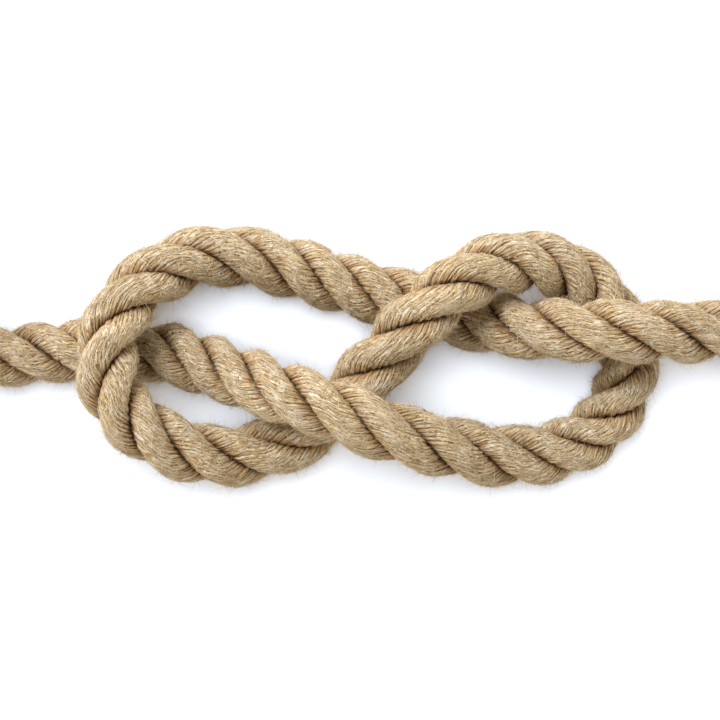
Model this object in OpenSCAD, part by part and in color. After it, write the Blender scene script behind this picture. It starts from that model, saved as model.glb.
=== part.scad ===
// Three-strand dock line laid on a flat floor: a figure-eight knot near the whipped end,
// the spare length folded into a tied hank, and a spliced eye lying on the hank.
// Millimetres, +Z up, floor at z = 0, origin under the middle of the whole line.
// Every stretch of rope is a plain round tube. The lay of its strands is left off.

/* [Rope] */
// Diameter of the rope over its strands
rope_d = 24; // [22:0.5:25]
// Depth of the flat that the rope's weight presses where it lies on the floor
rest_flat = 2.4; // [2:0.1:3]
// Clearance between two stretches of rope that cross or lie side by side
lay_gap = 0.8; // [0.6:0.1:1.2]
// Sides of the rope's section
rope_sides = 12; // [8:2:16]

/* [Hank] */
// Length of the straight runs between the end folds
hank_run = 184; // [180:2:220]
// Radius of the innermost fold
fold_r = 60; // [56:1:70]
// How far the runs draw in at the waist
waist_in = 36; // [30:1:40]
// Distance from the knot's middle to the hank's middle, along the line
hank_away = 386; // [384:1:420]
// Distance of the hank's middle to the side of the knot's middle
hank_aside = 70; // [64:1:84]
// Radius of the last turn, which lies on top of the hank
top_turn_r = 50; // [47:1:54]
// How far the middle of the last turn lies past the middles of the end folds
top_turn_out = 30; // [20:1:40]

/* [Eye] */
// Length of the splice over its tucks
splice_len = 90; // [84:1:110]
// How much of the splice lies on the last turn's side of the waist
splice_before = 48; // [46:1:56]
// Thickness that the tucked strands add on each side of the splice
splice_swell = 3; // [2:0.5:4]
// Length of the eye from the splice to the middle of the rope at its far end
eye_len = 168; // [150:2:176]
// Width of the eye between the middles of its legs
eye_w = 92; // [80:2:110]

/* [Twine] */
// Diameter of the twine round the hank's waist
tie_d = 3; // [2.5:0.1:4]
// Turns of twine round the waist
tie_turns = 3; // [2:1:4]
// Clearance between the twine and the rope inside its turns
twine_gap = 0.7; // [0.6:0.1:0.9]
// Clearance between one turn of twine and the next
turn_gap = 0.6; // [0.5:0.1:1]
// Length of the two tails of the twine's knot
tie_tail = 12; // [8:1:18]
// Diameter of the whipping twine on the rope's end
whip_d = 2; // [1.6:0.1:2.4]
// Turns of the whipping
whip_turns = 12; // [8:1:14]
// How deep the whipping draws the rope in
whip_squeeze = 2.8; // [2.4:0.1:3.4]
// Length of the rope's tuft past the whipping
tuft_len = 9; // [6:1:14]

/* [Hidden] */

UP = [0, 0, 1];
ALONG = [1, 0, 0];
HEMP = [0.69, 0.59, 0.46];
TWINE = [0.55, 0.45, 0.32];
WHIPPING = [0.78, 0.72, 0.60];

rope_r = rope_d / 2;
tie_r = tie_d / 2;
tie_pitch = tie_d + turn_gap;
whip_r = whip_d / 2;
twine_sides = 6;
// Height of the middle of a rope that lies on the floor
floor_z = rope_r - rest_flat;
// Height from one layer of rope to the next
layer = rope_d + lay_gap;
// Two stretches this many rings apart along a line are different stretches
apart_rings = 8;

// Smooth step from 0 to 1
function ease(u) = (1 - cos(180 * u)) / 2;
function clamp(u) = max(0, min(1, u));
function unit(v) = v / norm(v);
function last(list) = list[len(list) - 1];
function part_of(list, from, to) = [for (i = [from:to]) list[i]];

// Direction of a line of points at one of them
function heading(line, i) = unit(line[min(i + 1, len(line) - 1)] - line[max(i - 1, 0)]);
// A ring of points round a line, of half width w and half height h, never below the floor
function ring(at, dir, ref, w, h, sides) =
    let (across = unit(cross(ref, dir)), over = cross(dir, across))
    [for (k = [0:sides - 1])
        let (a = (k + 0.5) * 360 / sides, p = at + across * w * cos(a) + over * h * sin(a))
        [p.x, p.y, max(p.z, 0)]];
// The rings of a round tube along a line, square to a given direction at each end that has one
function tube_rings(line, r, sides, ref = UP, first = undef, last = undef) =
    [for (i = [0:len(line) - 1])
        let (dir = i == 0 && first != undef ? first
            : i == len(line) - 1 && last != undef ? last : heading(line, i))
        ring(line[i], dir, ref, r, r, sides)];

// One closed solid through a list of rings, placed about the part's origin
module skin(rings) {
    n = len(rings[0]);
    top = (len(rings) - 1) * n;
    walls = [for (i = [0:len(rings) - 2], k = [0:n - 1], half = [0, 1])
        let (a = i * n + k, b = i * n + (k + 1) % n)
        half == 0 ? [a, b + n, b] : [a, a + n, b + n]];
    ends = [for (k = [1:n - 2], side = [0, 1])
        side == 0 ? [0, k, k + 1] : [top, top + k + 1, top + k]];
    translate(-origin)
        polyhedron(points = [for (r = rings, p = r) p], faces = concat(walls, ends), convexity = 10);
}

// Distance from a point to a stretch of line, and the least gap of a tube to itself
function off_stretch(p, a, b) =
    norm(p - a - (b - a) * clamp((p - a) * (b - a) / ((b - a) * (b - a))));
function least_gap(line, d, apart) =
    min([for (i = [0:len(line) - 1], j = [i + apart:1:len(line) - 2])
        off_stretch(line[i], line[j], line[j + 1])]) - d;
function length_of(line, i = 1) =
    i < len(line) ? norm(line[i] - line[i - 1]) + length_of(line, i + 1) : 0;

// A smooth line past the points given: a cubic B-spline on points drawn out a little
function drawn_out(p) =
    [for (i = [0:len(p) - 1])
        i == 0 || i == len(p) - 1 ? p[i] : (8 * p[i] - p[i - 1] - p[i + 1]) / 6];
function spline_at(c, i, u) =
    let (before = i == 0 ? 2 * c[0] - c[1] : c[i - 1],
         after = i + 2 > len(c) - 1 ? 2 * c[i + 1] - c[i] : c[i + 2])
    (pow(1 - u, 3) * before + (3 * pow(u, 3) - 6 * u * u + 4) * c[i]
        + (3 * u + 3 * u * u - 3 * pow(u, 3) + 1) * c[i + 1] + pow(u, 3) * after) / 6;
function smooth_line(p, steps) =
    let (c = drawn_out(p))
    [for (i = [0:len(p) - 2], s = [0:steps - 1]) spline_at(c, i, s / steps), last(p)];

// The hank is a spiral of loops, in along the lower layer and out along the upper one.
// A turn is counted from the waist of the near run, heading away from the knot.
loops = 3;
loop_rings = 32;
half_run = hank_run / 2;
mid_turn = loops / 2;
hank_mid = [-hank_away, hank_aside, 0];
// Neighbouring runs slant towards the waist, so they take a wider step than the layers do
loop_step = layer / cos(atan(waist_in * PI / hank_run));
mean_r = fold_r + loop_step * mid_turn / 2;
run_share = hank_run / (2 * hank_run + 2 * PI * mean_r);
fold_share = 0.5 - run_share;
// The runs slant away from the waist's middle, so the outer turns of twine meet them further out
tie_half = tie_turns * tie_pitch / 2 + tie_r;
waist_spread = waist_in * ease(tie_half / half_run) + loop_step * run_share * tie_half / hank_run;
// The waist lies clear of the floor by the twine that passes under it
waist_lift = rest_flat + 2 * twine_gap + waist_spread + tie_d;
function loop_r(t) = fold_r + loop_step * abs(t - mid_turn);
// Share of the waist's draw and lift at a place along a run
function at_waist(x) = 1 - ease(clamp(abs(x) / half_run));
function on_run(x, side, r, level) =
    [x, side * (r - waist_in * at_waist(x)), floor_z + level * layer + waist_lift * at_waist(x)];
function on_fold(x, r, a, level) = [x + r * cos(a), r * sin(a), floor_z + level * layer];
// The layer that a turn lies in: it climbs along the run where the spiral reverses
function hank_level(t) = ease(clamp((t - mid_turn) / run_share + 0.5));
function hank_at(t) =
    let (u = t - floor(t), r = loop_r(t), level = hank_level(t), near = run_share / 2)
    u <= near ? on_run(-half_run * u / near, -1, r, level)
    : u < 0.5 - near ? on_fold(-half_run, r, -90 - 180 * (u - near) / fold_share, level)
    : u <= 0.5 + near ? on_run(half_run * (u - 0.5) / near, 1, r, level)
    : u < 1 - near ? on_fold(half_run, r, 90 - 180 * (u - 0.5 - near) / fold_share, level)
    : on_run(half_run * (1 - u) / near, -1, r, level);
// The rings stand at each waist, at the twine's two edges there, and evenly between waists
first_turn = -run_share / 2;
entry_rings = 3;
half_rings = loop_rings / 2;
tie_share = run_share * tie_half / hank_run;
turn_marks = concat(
    [for (i = [0:entry_rings]) first_turn - (first_turn + tie_share) * i / entry_rings],
    [for (half = [0:2 * loops - 1], i = [-1:half_rings - 2])
        half / 2 + (i < 0 ? 0 : tie_share + (0.5 - 2 * tie_share) * i / (half_rings - 2))],
    [loops]);
spiral = [for (t = turn_marks) hank_at(t)];
// It begins a rope's diameter before the spiral, in line with the first run
hank_start = spiral[0] + [rope_d, 0, 0];
// The end climbs from the twine, turns back on top of the hank and runs along its middle
climb_rings = 6;
turn_rings = 10;
end_r = loop_r(loops);
top_z = floor_z + 2 * layer;
climb = [for (i = [0:climb_rings])
    let (u = i / climb_rings, p = on_run(-tie_half - (half_run - tie_half) * u, -1, end_r, 1))
    [p.x, p.y, p.z + layer * ease(u)]];
top_turn_mid = [-half_run - top_turn_out, top_turn_r - end_r, top_z];
top_turn = [for (i = [0:turn_rings])
    let (a = -90 - 180 * i / turn_rings)
    top_turn_mid + top_turn_r * [cos(a), sin(a), 0]];
eye_y = last(top_turn).y;
hank_end = [-splice_before, eye_y, top_z];
hank_line = [for (p = concat([hank_start], spiral, climb, top_turn, [hank_end])) hank_mid + p];

// The splice swells over its tucks and widens into the two legs of the eye
splice_rings = 10;
leg_y = layer / 2;
// Share of the splice's length where it begins to widen
widens_at = 0.55;
function swell(u) = splice_swell * sin(180 * u);
function splice_h(u) = rope_r + swell(u);
function splice_w(u) = splice_h(u) + leg_y * ease(clamp((u - widens_at) / (1 - widens_at)));
throat = hank_mid + hank_end + [splice_len, 0, 0];
// Outline of one leg, as shares of the eye's length and of its width past the throat
LEG = [[0, 0], [0.1, 0.01], [0.2, 0.18], [0.34, 0.56], [0.52, 0.88], [0.72, 1], [0.88, 0.8],
       [0.97, 0.42]];
function leg_point(s, side) =
    throat + [s[0] * eye_len, side * (leg_y + s[1] * (eye_w / 2 - leg_y)), 0];
eye_points = concat([for (s = LEG) leg_point(s, 1)],
                    [throat + [eye_len, 0, 0]],
                    [for (i = [len(LEG) - 1:-1:0]) leg_point(LEG[i], -1)]);
eye_steps = 2;
eye_line = smooth_line(eye_points, eye_steps);
eye_rings = tube_rings(eye_line, rope_r, rope_sides, UP, ALONG, -ALONG);
// Each leg bends near the splice when the eye is lifted
throat_rings = 2 * eye_steps;
eye_last = len(eye_line) - 1;

// The twine round the waist: turns that pass round the corner ropes and over the splice
corner_steps = 5;
around = twine_gap + waist_spread + tie_r;
waist_near = -(loop_r(0) - waist_in);
waist_far = loop_r(mid_turn - 1) - waist_in;
waist_low = floor_z + waist_lift;
waist_high = waist_low + layer;
// Each corner: where its rope is, and the radius that the twine's middle goes round it
CORNERS = [[eye_y, top_z, splice_h(splice_before / splice_len) + twine_gap + tie_r],
           [waist_near, waist_high, rope_r + around],
           [waist_near, waist_low, rope_r + around],
           [waist_far, waist_low, rope_r + around],
           [waist_far, waist_high, rope_r + around]];
corners = len(CORNERS);
// Direction from a corner to the straight stretch of twine between it and the next one
function stretch_angle(a, b) =
    atan2(b[1] - a[1], b[0] - a[0]) - acos((a[2] - b[2]) / norm([b[0] - a[0], b[1] - a[1]]));
function onward(from, to) = from + ((to - from) % 360 + 360) % 360;
function corner_point(i, u) =
    let (c = CORNERS[i], a = stretch_angle(CORNERS[(i + corners - 1) % corners], c),
         b = onward(a, stretch_angle(c, CORNERS[(i + 1) % corners])), at = a + (b - a) * u)
    [c[0] + c[2] * cos(at), c[1] + c[2] * sin(at)];
// The turns begin and end on the slope between the last corner and the splice
tie_first = (corner_point(corners - 1, 1) + corner_point(0, 0)) / 2;
turn_points = concat(
    [for (i = [0:corners - 1], s = [0:corner_steps]) corner_point(i, s / corner_steps)],
    [tie_first]);
tie_line = [for (i = [0:tie_turns * len(turn_points)])
    let (p = i == 0 ? tie_first : turn_points[(i - 1) % len(turn_points)])
    hank_mid + [(i / len(turn_points) - tie_turns / 2) * tie_pitch, p[0], p[1]]];
// The knot in the twine is an overhand knot: three lobes in two rounds, open at two tails
lobe_rings = 36;
lobes_a_round = 1.5;
knot_rounds = 720;
knot_open = 25;
lobe_out = tie_pitch / 2;
// Lobes this far from the knot's middle keep a turn's clearance across it
lobe_r = lobe_out + (tie_d + turn_gap + turn_gap) / sqrt(3);
tie_slope = atan2(corner_point(0, 0)[1] - tie_first[1], corner_point(0, 0)[0] - tie_first[0]);
tie_knot_z = tie_r + turn_gap + lobe_out + tie_r;
function lobe_at(a) =
    let (r = lobe_r + lobe_out * cos(lobes_a_round * a))
    [r * cos(a), r * sin(a), lobe_out * sin(lobes_a_round * a)];
lobes = [for (i = [0:lobe_rings])
    lobe_at(knot_open + (knot_rounds - 2 * knot_open) * i / lobe_rings)];
tie_knot_line = concat([lobes[0] + [tie_tail, 0, 0]], lobes, [last(lobes) + [tie_tail, 0, 0]]);

// The knot: points of the rope's middle as [x, y, level], level 1 being on top of another rope
KNOT = [[-145, 1, 0], [-121, 3, 0], [-97, 4, 0], [-74, 2, 0.12], [-52, -5, 0.45], [-32, -12, 0.9],
        [-11, -19, 1.2], [11, -28, 1.1], [32, -34, 0.68], [54, -38, 0.25], [77, -37, 0.05],
        [98, -25, 0], [107.5, -3, 0], [100, 19, 0.05], [83, 35, 0.36], [62, 39, 0.72], [41, 32, 1],
        [23, 16, 1], [8, 0, 0.55], [-6, -16, 0.1], [-24, -30, 0], [-46, -38, 0.16],
        [-68, -36, 0.52], [-88, -25.5, 0.85], [-100, -4.5, 1.05], [-94, 19, 0.95], [-79, 34.5, 0.6],
        [-58, 41.5, 0.25], [-35, 39, 0.05], [-12, 32, 0], [11, 26, 0], [34, 19, 0], [56, 14, 0.3],
        [77, 12, 0.78], [99, 11, 1.05], [123, 11, 0.85], [145, 11, 0.5], [168, 11, 0.2]];
// The points of that list where one stretch ends and the next begins
STANDING_TO = 10;
RIGHT_TO = 15;
CROSSING_TO = 20;
LEFT_TO = 28;
WORKING_TO = 35;
TAIL_BEND_TO = len(KNOT) - 1;
function lying(p) = [p[0], p[1], floor_z + p[2] * layer];
// The lead swings from the hank's first run to the knot
lead_spans = 5;
lead_from = hank_mid + hank_start;
lead_to = lying(KNOT[0]);
lead_points = [for (i = [0:lead_spans - 1])
    let (u = i / lead_spans, d = lead_to - lead_from)
    lead_from + [d.x * u, d.y * ease(u), d.z * u]];
// The tail runs straight through the whipping to the tuft, low enough for both to lie down
whip_pitch = whip_d + turn_gap;
whip_len = whip_turns * whip_pitch;
whip_rings = 12;
core_r = rope_r - whip_squeeze;
// The twine's rings are a polygon, which comes nearer the rope than a round turn does
whip_mid_r = (core_r + twine_gap + whip_r) / cos(180 / whip_rings);
tail_z = whip_mid_r + whip_r;
tail_from = lying(last(KNOT));
whip_from = [tail_from.x + rope_r, tail_from.y, tail_z];
whip_to = whip_from + [whip_len, 0, 0];
tail_end = whip_to + [tuft_len, 0, 0];
route_steps = 2;
route = smooth_line(concat(lead_points, [for (p = KNOT) lying(p)]), route_steps);
route_rings = tube_rings(route, rope_r, rope_sides, UP, ALONG);
function route_part(from, to) =
    part_of(route_rings, (lead_spans + from) * route_steps, (lead_spans + to) * route_steps);

// The origin lies under the middle of everything
lows = [for (p = concat(hank_line, route)) p.x - rope_r];
sides = [for (p = concat(hank_line, route)) p.y];
origin = [(min(lows) + tail_end.x) / 2, (min(sides) + max(sides)) / 2, 0];

module rope(rings) { color(HEMP) skin(rings); }
module hank() { rope(tube_rings(hank_line, rope_r, rope_sides)); }
module waist_tie() { color(TWINE) skin(tube_rings(tie_line, tie_r, twine_sides, ALONG)); }
module tie_knot() {
    at = hank_mid + [0, tie_first[0], tie_first[1]];
    turned = [for (p = tie_knot_line)
        let (y = p.x, z = p.z - tie_knot_z)
        at + [p.y, y * cos(tie_slope) - z * sin(tie_slope), y * sin(tie_slope) + z * cos(tie_slope)]];
    color(TWINE) skin(tube_rings(turned, tie_r, twine_sides, UP));
}
module lead_bend() { rope(route_part(-lead_spans, 0)); }
module standing_part() { rope(route_part(0, STANDING_TO)); }
module right_bight() { rope(route_part(STANDING_TO, RIGHT_TO)); }
module crossing_turn() { rope(route_part(RIGHT_TO, CROSSING_TO)); }
module left_bight() { rope(route_part(CROSSING_TO, LEFT_TO)); }
module working_part() { rope(route_part(LEFT_TO, WORKING_TO)); }
module tail_bend() { rope(route_part(WORKING_TO, TAIL_BEND_TO)); }
module tail() {
    drawn_in = [[whip_from, core_r], [whip_to, core_r], [tail_end, rope_r]];
    rope(concat([last(route_rings)],
                [for (s = drawn_in) ring(s[0], ALONG, UP, s[1], s[1], rope_sides)]));
}
module end_whipping() {
    line = [for (i = [0:whip_turns * whip_rings])
        let (a = 360 * i / whip_rings)
        whip_from + [whip_len * i / (whip_turns * whip_rings), whip_mid_r * cos(a), whip_mid_r * sin(a)]];
    echo(whipping_self_gap = least_gap(line, whip_d, whip_rings / 2));
    color(WHIPPING) skin(tube_rings(line, whip_r, twine_sides, ALONG));
}
module eye_splice() {
    rope([for (i = [0:splice_rings])
        let (u = i / splice_rings)
        ring(throat + [(u - 1) * splice_len, 0, 0], ALONG, UP, splice_w(u), splice_h(u), rope_sides)]);
}
module eye_throat() {
    rope(part_of(eye_rings, 0, throat_rings));
    rope(part_of(eye_rings, eye_last - throat_rings, eye_last));
}
module eye_loop() { rope(part_of(eye_rings, throat_rings, eye_last - throat_rings)); }

echo(hank_self_gap = least_gap(hank_line, rope_d, apart_rings));
echo(tie_self_gap = least_gap(tie_line, tie_d, apart_rings));
echo(tie_knot_self_gap = least_gap(tie_knot_line, tie_d, apart_rings));
echo(knot_self_gap = least_gap(route, rope_d, apart_rings));
echo(rope_length = length_of(hank_line) + length_of(route) + tail_end.x - tail_from.x
    + splice_len + length_of(eye_line));
echo(origin = origin);

hank();
waist_tie();
tie_knot();
lead_bend();
standing_part();
right_bight();
crossing_turn();
left_bight();
working_part();
tail_bend();
tail();
end_whipping();
eye_splice();
eye_throat();
eye_loop();
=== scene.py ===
import math

import bpy
import numpy as np
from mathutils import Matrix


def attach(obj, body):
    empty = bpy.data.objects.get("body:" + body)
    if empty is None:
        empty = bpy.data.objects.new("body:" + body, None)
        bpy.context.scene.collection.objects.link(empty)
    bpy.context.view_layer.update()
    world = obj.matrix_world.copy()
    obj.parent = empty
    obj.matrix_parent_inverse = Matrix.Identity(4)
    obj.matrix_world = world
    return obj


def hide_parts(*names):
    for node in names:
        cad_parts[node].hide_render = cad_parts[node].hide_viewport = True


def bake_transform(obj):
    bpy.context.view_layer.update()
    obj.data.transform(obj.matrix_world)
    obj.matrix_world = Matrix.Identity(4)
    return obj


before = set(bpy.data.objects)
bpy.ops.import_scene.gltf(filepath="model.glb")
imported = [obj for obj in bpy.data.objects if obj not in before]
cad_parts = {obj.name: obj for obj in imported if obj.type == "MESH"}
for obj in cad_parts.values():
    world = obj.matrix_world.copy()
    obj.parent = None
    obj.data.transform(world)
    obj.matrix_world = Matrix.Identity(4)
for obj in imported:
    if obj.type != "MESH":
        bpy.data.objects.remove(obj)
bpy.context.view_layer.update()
bpy.ops.object.select_all(action="DESELECT")

# Shapes are worked out in millimetres, in a plan that has the knot's middle at its origin.
# ORIGIN is the place in that plan where the CAD frame has its own origin.
MM = 0.001
ORIGIN = np.array([-183.094, 61.7927, 0.0])
UP = np.array([0.0, 0.0, 1.0])
TURN = 2 * math.pi


def placed(points):
    """Plan points in millimetres as points of the CAD frame in metres."""
    return (np.asarray(points, float) - ORIGIN) * MM


# The camera looks straight down on the knot, as the photograph does
CAMERA_HEIGHT = 1.0
CAMERA_LENS = 123.5
camera_data = bpy.data.cameras.new("camera")
camera_data.lens = CAMERA_LENS
camera_data.sensor_width = 36.0
camera_data.clip_start = 0.05
camera_data.clip_end = 50.0
camera = bpy.data.objects.new("camera", camera_data)
camera.location = (*placed([0, 0, 0])[:2], CAMERA_HEIGHT)
bpy.context.scene.collection.objects.link(camera)
bpy.context.scene.camera = camera

# The rope's route, point for point as the part's source has it
ROPE_D = 24.0
ROPE_R = ROPE_D / 2
FLOOR_Z = 9.6
LAYER = 24.8
HANK_RUN = 184.0
FOLD_R = 60.0
WAIST_IN = 36.0
WAIST_LIFT = 7.525
TIE_HALF = 6.9
LOOPS = 3
HANK_MID = np.array([-386.0, 70.0, 0.0])
TOP_TURN_R = 50.0
TOP_TURN_OUT = 30.0
SPLICE_LEN = 90.0
SPLICE_BEFORE = 48.0
EYE_LEN = 168.0
EYE_W = 92.0
LEG_Y = LAYER / 2
# Outline of one leg of the eye, as shares of the eye's length and of its width past the throat
LEG = [(0, 0), (0.1, 0.01), (0.2, 0.18), (0.34, 0.56), (0.52, 0.88), (0.72, 1), (0.88, 0.8),
       (0.97, 0.42)]
# The knot's points as x, y and level, level 1 being on top of another rope
KNOT = [(-145, 1, 0), (-121, 3, 0), (-97, 4, 0), (-74, 2, 0.12), (-52, -5, 0.45), (-32, -12, 0.9),
        (-11, -19, 1.2), (11, -28, 1.1), (32, -34, 0.68), (54, -38, 0.25), (77, -37, 0.05),
        (98, -25, 0), (107.5, -3, 0), (100, 19, 0.05), (83, 35, 0.36), (62, 39, 0.72), (41, 32, 1),
        (23, 16, 1), (8, 0, 0.55), (-6, -16, 0.1), (-24, -30, 0), (-46, -38, 0.16),
        (-68, -36, 0.52), (-88, -25.5, 0.85), (-100, -4.5, 1.05), (-94, 19, 0.95), (-79, 34.5, 0.6),
        (-58, 41.5, 0.25), (-35, 39, 0.05), (-12, 32, 0), (11, 26, 0), (34, 19, 0), (56, 14, 0.3),
        (77, 12, 0.78), (99, 11, 1.05), (123, 11, 0.85), (145, 11, 0.5), (168, 11, 0.2)]
LEAD_SPANS = 5
TAIL_FROM = np.array([168.0, 11.0, 14.56])
TAIL_Z = 12.284
WHIP_FROM_X = 180.0
WHIP_TO_X = 211.2
TAIL_END_X = 220.2
WHIP_CORE_R = 9.2


def ease(u):
    """Smooth step from 0 to 1."""
    return (1 - np.cos(np.pi * np.clip(u, 0, 1))) / 2


def smooth_line(points, steps):
    """A cubic spline past the points given, drawn out a little so that it passes near them."""
    p = np.array(points, float)
    c = p.copy()
    c[1:-1] = (8 * p[1:-1] - p[:-2] - p[2:]) / 6
    c = np.vstack([2 * c[0] - c[1], c, 2 * c[-1] - c[-2]])
    u = (np.arange(steps) / steps)[:, None]
    weights = [(1 - u) ** 3, 3 * u**3 - 6 * u**2 + 4, 3 * u + 3 * u**2 - 3 * u**3 + 1, u**3]
    spans = [sum(w * c[i + j] for j, w in enumerate(weights)) / 6 for i in range(len(p) - 1)]
    return np.vstack([*spans, p[-1]])


half_run = HANK_RUN / 2
mid_turn = LOOPS / 2
loop_step = LAYER / math.cos(math.atan(WAIST_IN * math.pi / HANK_RUN))
run_share = HANK_RUN / (2 * HANK_RUN + TURN * (FOLD_R + loop_step * mid_turn / 2))
fold_share = 0.5 - run_share
near_share = run_share / 2
end_r = FOLD_R + loop_step * mid_turn
top_z = FLOOR_Z + 2 * LAYER
eye_y = 2 * TOP_TURN_R - end_r
hank_end = HANK_MID + [-SPLICE_BEFORE, eye_y, top_z]
throat = hank_end + [SPLICE_LEN, 0, 0]
hank_start = HANK_MID + [half_run + ROPE_D, -(FOLD_R + loop_step * (mid_turn + near_share)), FLOOR_Z]


def on_run(x, side, r, level):
    """A point on one of the hank's long runs, which draw in and lift at the waist."""
    at_waist = 1 - ease(abs(x) / half_run)
    return [x, side * (r - WAIST_IN * at_waist), FLOOR_Z + level * LAYER + WAIST_LIFT * at_waist]


def on_fold(x, r, degrees, level):
    """A point on one of the hank's round ends."""
    a = math.radians(degrees)
    return [x + r * math.cos(a), r * math.sin(a), FLOOR_Z + level * LAYER]


def hank_turn(t):
    """The hank's spiral at turn t, counted from the waist of its near run."""
    u = t - math.floor(t)
    r = FOLD_R + loop_step * abs(t - mid_turn)
    level = ease((t - mid_turn) / run_share + 0.5)
    if u <= near_share:
        return on_run(-half_run * u / near_share, -1, r, level)
    if u < 0.5 - near_share:
        return on_fold(-half_run, r, -90 - 180 * (u - near_share) / fold_share, level)
    if u <= 0.5 + near_share:
        return on_run(half_run * (u - 0.5) / near_share, 1, r, level)
    if u < 1 - near_share:
        return on_fold(half_run, r, 90 - 180 * (u - 0.5 - near_share) / fold_share, level)
    return on_run(half_run * (1 - u) / near_share, -1, r, level)


def hank_line():
    """The hank from its lead to its end at the splice."""
    spiral = [hank_turn(t) for t in np.linspace(-near_share, LOOPS, 900)]
    climb = []
    for u in np.linspace(0, 1, 40):
        x, y, z = on_run(-TIE_HALF - (half_run - TIE_HALF) * u, -1, end_r, 1)
        climb.append([x, y, z + LAYER * ease(u)])
    middle = np.array([-half_run - TOP_TURN_OUT, TOP_TURN_R - end_r, top_z])
    bend = np.radians(-90 - 180 * np.linspace(0, 1, 60))
    top = middle + TOP_TURN_R * np.stack([np.cos(bend), np.sin(bend), 0 * bend], 1)
    body = HANK_MID + np.vstack([spiral, climb, top])
    return np.vstack([hank_start, body, hank_end])


def eye_line():
    """The eye from its tucked leg, round its far end, to the leg that runs on into the rope."""
    def leg(side):
        return [throat + [a * EYE_LEN, side * (LEG_Y + b * (EYE_W / 2 - LEG_Y)), 0] for a, b in LEG]
    return smooth_line([*leg(-1), throat + [EYE_LEN, 0, 0], *leg(1)[::-1]], 12)


def splice_line():
    """The rope's middle through the splice, from the eye's leg to the hank."""
    u = np.linspace(1, 0, 40)
    side = LEG_Y * ease((u - 0.35) / 0.65)
    return np.stack([throat[0] + (u - 1) * SPLICE_LEN, eye_y + HANK_MID[1] + side, 0 * u + top_z], 1)


def knot_line():
    """The lead, the knot and the straight tail."""
    knot = [[x, y, FLOOR_Z + level * LAYER] for x, y, level in KNOT]
    step = np.array(knot[0]) - hank_start
    lead = [hank_start + step * [i, 0, i] / LEAD_SPANS + [0, step[1] * ease(i / LEAD_SPANS), 0]
            for i in range(LEAD_SPANS)]
    tail = [[x, TAIL_FROM[1], TAIL_Z] for x in (WHIP_FROM_X, WHIP_TO_X, TAIL_END_X)]
    return np.vstack([smooth_line([*lead, *knot], 12), tail])


def evened(line, step):
    """The same line with its points a step apart."""
    far = np.concatenate([[0], np.cumsum(np.linalg.norm(np.diff(line, axis=0), axis=1))])
    at = np.linspace(0, far[-1], int(round(far[-1] / step)) + 1)
    return np.stack([np.interp(at, far, line[:, k]) for k in range(3)], 1)


def softened(values, width):
    """Values along a line, smoothed over a width of points, with both ends kept."""
    reach = int(4 * width)
    weights = np.exp(-0.5 * (np.arange(-reach, reach + 1) / width) ** 2)
    weights /= weights.sum()
    before = 2 * values[0] - values[reach:0:-1]
    after = 2 * values[-1] - values[-2:-reach - 2:-1]
    return np.convolve(np.concatenate([before, values, after]), weights, "valid")


# One line from the tucked leg of the eye to the whipped end: its points, a millimetre apart
raw = np.vstack([eye_line()[:-1], splice_line()[:-1], hank_line()[::-1][:-1], knot_line()])
LINE = evened(raw, 1.0)
LINE = np.stack([softened(LINE[:, k], 3.0) for k in range(3)], 1)
FAR = np.concatenate([[0], np.cumsum(np.linalg.norm(np.diff(LINE, axis=0), axis=1))])
HEADING = np.gradient(LINE, axis=0)
HEADING /= np.linalg.norm(HEADING, axis=1)[:, None]
ACROSS = np.cross(UP, HEADING)
ACROSS /= np.linalg.norm(ACROSS, axis=1)[:, None]
OVER = np.cross(HEADING, ACROSS)


def far_of(point):
    """How far along the line the place nearest to a point is."""
    return FAR[np.linalg.norm(LINE - np.asarray(point, float), axis=1).argmin()]


EYE_TO = far_of(throat + [0, LEG_Y, 0])
SPLICE_TO = far_of(hank_end)
LEAD_FROM = far_of(HANK_MID + hank_turn(-near_share * 0.93))
KNOT_FROM = far_of([KNOT[0][0], KNOT[0][1], FLOOR_Z])
CLIMB_AT = far_of(HANK_MID + hank_turn(mid_turn))
LINE_TO = FAR[-1]
ROPE_END_X = 213.0
ROPE_END = LINE_TO - (TAIL_END_X - ROPE_END_X)

# The lay: how many millimetres past the knot's first point each next strand comes up
LAY = [0.7, 19.8, 38, 56.4, 74.9, 92.4, 112.3, 133.7, 154.5, 181.4, 208, 232.2, 249.9, 266.7, 283.6,
       303.5, 324.2, 345.7, 366, 387, 407.4, 433, 461.1, 488.6, 511.6, 533.6, 555.5, 573.5, 596.3,
       619.8, 644.4, 669.6, 689.2, 708.2, 728.2, 749.7, 771.6, 795.4, 817.4, 839.5, 863.1, 887.9,
       916, 941, 966, 991]
HANK_LAY = 20.7
STRANDS = 3
lay_far = [0.0, *(KNOT_FROM + far for far in LAY)]
lay_count = [-lay_far[1] / HANK_LAY, *range(len(LAY))]
lay_angle = np.radians(30 + 120 * np.interp(FAR, lay_far, lay_count))
LAY_ANGLE = softened(lay_angle, 6.0)

# The rope's own width along the line, drawn in under the whipping and open at the end
width_far = [LINE_TO - (TAIL_END_X - x) for x in (168, WHIP_FROM_X, WHIP_TO_X - 1, TAIL_END_X)]
core_share = WHIP_CORE_R / ROPE_R
WIDTH = np.interp(FAR, width_far, [1, core_share, core_share, 1.0])

# A strand's section: a circle that the two neighbours press flat
STRAND_OUT = 0.218 * ROPE_D
STRAND_R = 0.294 * ROPE_D
STRAND_GAP = 0.1
CREASE = 14
YARNS = 30
# How fast yarns turn back round their strand while the strand turns round the rope
YARN_BACK = 1 + STRAND_OUT / STRAND_R
# How much more they turn in the grooves than on the outward side
YARN_CURL = 0.1
PRESS = 2.0


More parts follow.
